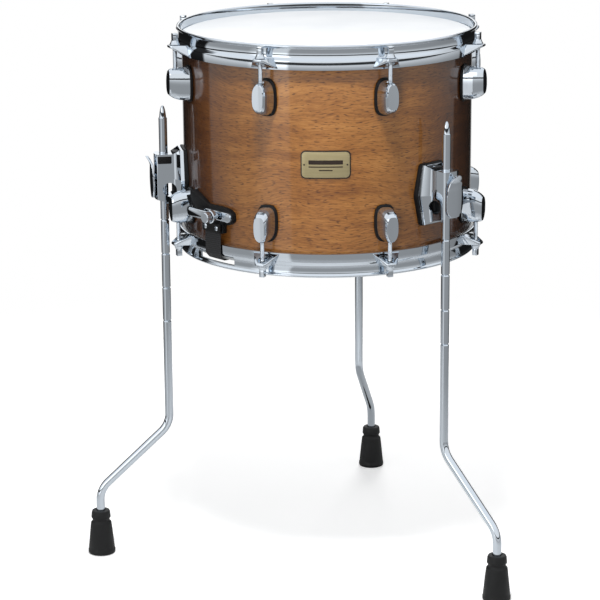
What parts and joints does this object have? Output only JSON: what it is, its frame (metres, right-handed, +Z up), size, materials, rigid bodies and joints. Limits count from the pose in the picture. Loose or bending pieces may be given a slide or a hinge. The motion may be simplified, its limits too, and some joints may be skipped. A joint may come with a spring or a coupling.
{
  "type": "floor tom drum",
  "caption": "Cylindrical wooden drum with chromed hoops and lugs, a snare strainer and butt, and height-adjustable legs that clamp in shell brackets.",
  "frame": {"origin": "middle of the footprint, on the floor", "axes": "+Z up along the drum's axis, -Y the front with the badge, +X to the right seen from the front"},
  "size_m": [0.5258, 0.5356, 0.6689],
  "materials": {
    "lacquered_shell": "high-gloss clear lacquer over amber stained veneer, grain round the shell",
    "bright_chrome": "bright chrome plate",
    "coated_film": "white coated polyester film, fine grit",
    "clear_film": "thin hazy polyester film",
    "badge_metal": "satin champagne plate with a dark border",
    "foot_rubber": "moulded black rubber",
    "black_strap": "woven black plastic strap",
    "black_plastic": "moulded black plastic, slightly satin",
    "snare_steel": "plain steel coil wire"
  },
  "bodies": {
    "root": {"shell": "lacquered_shell", "vent_grommet": "bright_chrome", "badge": "badge_metal", "batter_head": "coated_film", "resonant_head": "clear_film", "batter_hoop": "bright_chrome", "resonant_hoop": "bright_chrome", "lug_top_1": "bright_chrome", "lug_bottom_1": "bright_chrome", "lug_top_2": "bright_chrome", "lug_bottom_2": "bright_chrome", "lug_top_3": "bright_chrome", "lug_bottom_3": "bright_chrome", "lug_top_4": "bright_chrome", "lug_bottom_4": "bright_chrome", "lug_top_5": "bright_chrome", "lug_bottom_5": "bright_chrome", "lug_top_6": "bright_chrome", "lug_bottom_6": "bright_chrome", "lug_top_7": "bright_chrome", "lug_bottom_7": "bright_chrome", "lug_top_8": "bright_chrome", "lug_bottom_8": "bright_chrome", "leg_bracket_left": "bright_chrome", "leg_bracket_right": "bright_chrome", "leg_bracket_rear": "bright_chrome", "strainer_base": "bright_chrome", "strainer_strap": "black_strap", "butt_base": "bright_chrome", "butt_clamp": "black_plastic", "butt_strap": "black_strap", "snare_wires": "snare_steel"},
    "tension_rod_top_1_body": {"tension_rod_top_1": "bright_chrome"},
    "tension_rod_top_2_body": {"tension_rod_top_2": "bright_chrome"},
    "tension_rod_top_3_body": {"tension_rod_top_3": "bright_chrome"},
    "tension_rod_top_4_body": {"tension_rod_top_4": "bright_chrome"},
    "tension_rod_top_5_body": {"tension_rod_top_5": "bright_chrome"},
    "tension_rod_top_6_body": {"tension_rod_top_6": "bright_chrome"},
    "tension_rod_top_7_body": {"tension_rod_top_7": "bright_chrome"},
    "tension_rod_top_8_body": {"tension_rod_top_8": "bright_chrome"},
    "tension_rod_bottom_1_body": {"tension_rod_bottom_1": "bright_chrome"},
    "tension_rod_bottom_2_body": {"tension_rod_bottom_2": "bright_chrome"},
    "tension_rod_bottom_3_body": {"tension_rod_bottom_3": "bright_chrome"},
    "tension_rod_bottom_4_body": {"tension_rod_bottom_4": "bright_chrome"},
    "tension_rod_bottom_5_body": {"tension_rod_bottom_5": "bright_chrome"},
    "tension_rod_bottom_6_body": {"tension_rod_bottom_6": "bright_chrome"},
    "tension_rod_bottom_7_body": {"tension_rod_bottom_7": "bright_chrome"},
    "tension_rod_bottom_8_body": {"tension_rod_bottom_8": "bright_chrome"},
    "wing_left": {"wing_bolt_left": "bright_chrome"},
    "leg_left": {"leg_rod_left": "bright_chrome", "rubber_foot_left": "foot_rubber"},
    "wing_right": {"wing_bolt_right": "bright_chrome"},
    "leg_right": {"leg_rod_right": "bright_chrome", "rubber_foot_right": "foot_rubber"},
    "wing_rear": {"wing_bolt_rear": "bright_chrome"},
    "leg_rear": {"leg_rod_rear": "bright_chrome", "rubber_foot_rear": "foot_rubber"},
    "lever": {"throw_off_lever": "bright_chrome"},
    "clamp": {"strainer_clamp": "black_plastic"},
    "knob": {"strainer_knob": "bright_chrome"}
  },
  "joints": [
    {"name": "turn_top_1", "type": "hinge", "parent": "root", "child": "tension_rod_top_1_body", "pos_m": [0.11674, -0.2188, 0.635], "axis": [0, 0, 1], "continuous": true},
    {"name": "turn_top_2", "type": "hinge", "parent": "root", "child": "tension_rod_top_2_body", "pos_m": [0.22392, -0.11384, 0.635], "axis": [0, 0, 1], "continuous": true},
    {"name": "turn_top_3", "type": "hinge", "parent": "root", "child": "tension_rod_top_3_body", "pos_m": [0.22549, 0.03617, 0.635], "axis": [0, 0, 1], "continuous": true},
    {"name": "turn_top_4", "type": "hinge", "parent": "root", "child": "tension_rod_top_4_body", "pos_m": [0.12054, 0.14335, 0.635], "axis": [0, 0, 1], "continuous": true},
    {"name": "turn_top_5", "type": "hinge", "parent": "root", "child": "tension_rod_top_5_body", "pos_m": [-0.02947, 0.14492, 0.635], "axis": [0, 0, 1], "continuous": true},
    {"name": "turn_top_6", "type": "hinge", "parent": "root", "child": "tension_rod_top_6_body", "pos_m": [-0.13665, 0.03996, 0.635], "axis": [0, 0, 1], "continuous": true},
    {"name": "turn_top_7", "type": "hinge", "parent": "root", "child": "tension_rod_top_7_body", "pos_m": [-0.13822, -0.11005, 0.635], "axis": [0, 0, 1], "continuous": true},
    {"name": "turn_top_8", "type": "hinge", "parent": "root", "child": "tension_rod_top_8_body", "pos_m": [-0.03326, -0.21723, 0.635], "axis": [0, 0, 1], "continuous": true},
    {"name": "turn_bottom_1", "type": "hinge", "parent": "root", "child": "tension_rod_bottom_1_body", "pos_m": [0.11674, -0.2188, 0.4274], "axis": [0, 0, 1], "continuous": true},
    {"name": "turn_bottom_2", "type": "hinge", "parent": "root", "child": "tension_rod_bottom_2_body", "pos_m": [0.22392, -0.11384, 0.4274], "axis": [0, 0, 1], "continuous": true},
    {"name": "turn_bottom_3", "type": "hinge", "parent": "root", "child": "tension_rod_bottom_3_body", "pos_m": [0.22549, 0.03617, 0.4274], "axis": [0, 0, 1], "continuous": true},
    {"name": "turn_bottom_4", "type": "hinge", "parent": "root", "child": "tension_rod_bottom_4_body", "pos_m": [0.12054, 0.14335, 0.4274], "axis": [0, 0, 1], "continuous": true},
    {"name": "turn_bottom_5", "type": "hinge", "parent": "root", "child": "tension_rod_bottom_5_body", "pos_m": [-0.02947, 0.14492, 0.4274], "axis": [0, 0, 1], "continuous": true},
    {"name": "turn_bottom_6", "type": "hinge", "parent": "root", "child": "tension_rod_bottom_6_body", "pos_m": [-0.13665, 0.03996, 0.4274], "axis": [0, 0, 1], "continuous": true},
    {"name": "turn_bottom_7", "type": "hinge", "parent": "root", "child": "tension_rod_bottom_7_body", "pos_m": [-0.13822, -0.11005, 0.4274], "axis": [0, 0, 1], "continuous": true},
    {"name": "turn_bottom_8", "type": "hinge", "parent": "root", "child": "tension_rod_bottom_8_body", "pos_m": [-0.03326, -0.21723, 0.4274], "axis": [0, 0, 1], "continuous": true},
    {"name": "wing_turn_left", "type": "hinge", "parent": "root", "child": "wing_left", "pos_m": [-0.17105, -0.0748, 0.486], "axis": [-0.9848, -0.1736, 0], "continuous": true},
    {"name": "leg_height_left", "type": "slide", "parent": "root", "child": "leg_left", "axis": [0, 0, 1], "range_m": [-0.055, 0.25]},
    {"name": "wing_turn_right", "type": "hinge", "parent": "root", "child": "wing_right", "pos_m": [0.19342, -0.19533, 0.486], "axis": [0.6871, -0.7266, 0], "continuous": true},
    {"name": "leg_height_right", "type": "slide", "parent": "root", "child": "leg_right", "axis": [0, 0, 1], "range_m": [-0.055, 0.25]},
    {"name": "wing_turn_rear", "type": "hinge", "parent": "root", "child": "wing_rear", "pos_m": [0.08822, 0.17645, 0.486], "axis": [0.2045, 0.9789, 0], "continuous": true},
    {"name": "leg_height_rear", "type": "slide", "parent": "root", "child": "leg_rear", "axis": [0, 0, 1], "range_m": [-0.055, 0.25]},
    {"name": "throw_off", "type": "hinge", "parent": "root", "child": "lever", "pos_m": [-0.09528, -0.17102, 0.457], "axis": [-0.7373, -0.6756, 0], "range_deg": [0, 90]},
    {"name": "strap_drop", "type": "slide", "parent": "root", "child": "clamp", "axis": [0, 0, 1], "range_m": [-0.006, 0]},
    {"name": "knob_turn", "type": "hinge", "parent": "root", "child": "knob", "pos_m": [-0.10044, -0.17574, 0.457], "axis": [-0.7373, -0.6756, 0], "continuous": true}
  ],
  "couplings": [
    {"joint": "strap_drop", "follows": "throw_off", "m_per_rad": -0.0038}
  ]
}
